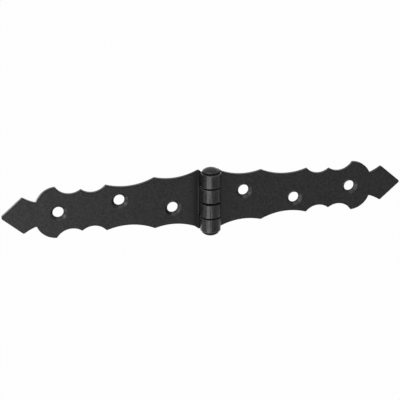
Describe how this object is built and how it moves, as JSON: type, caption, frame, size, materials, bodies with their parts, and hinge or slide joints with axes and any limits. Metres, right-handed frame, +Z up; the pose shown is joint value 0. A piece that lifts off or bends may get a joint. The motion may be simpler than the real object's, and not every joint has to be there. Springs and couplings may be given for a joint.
{
  "type": "decorative strap hinge",
  "caption": "Black strap hinge with scalloped, spear-tipped leaves, rolled knuckles on a headed pin and countersunk screw holes.",
  "frame": {"origin": "on the pin's axis, at mid-height of the knuckles", "axes": "+Z up along the pin towards its head, +X along the right leaf, the leaves' front faces and the barrel towards -Y"},
  "size_m": [0.199, 0.0098, 0.0346],
  "materials": {
    "black_coat": "satin black powder coat on steel"
  },
  "bodies": {
    "fixed_leaf": {"left_leaf": "black_coat", "hinge_pin": "black_coat"},
    "swinging_leaf": {"right_leaf": "black_coat"}
  },
  "joints": [
    {"name": "leaf_swing", "type": "hinge", "parent": "fixed_leaf", "child": "swinging_leaf", "pos_m": [0, 0, 0], "axis": [0, 0, -1], "range_deg": [-60, 180]}
  ]
}
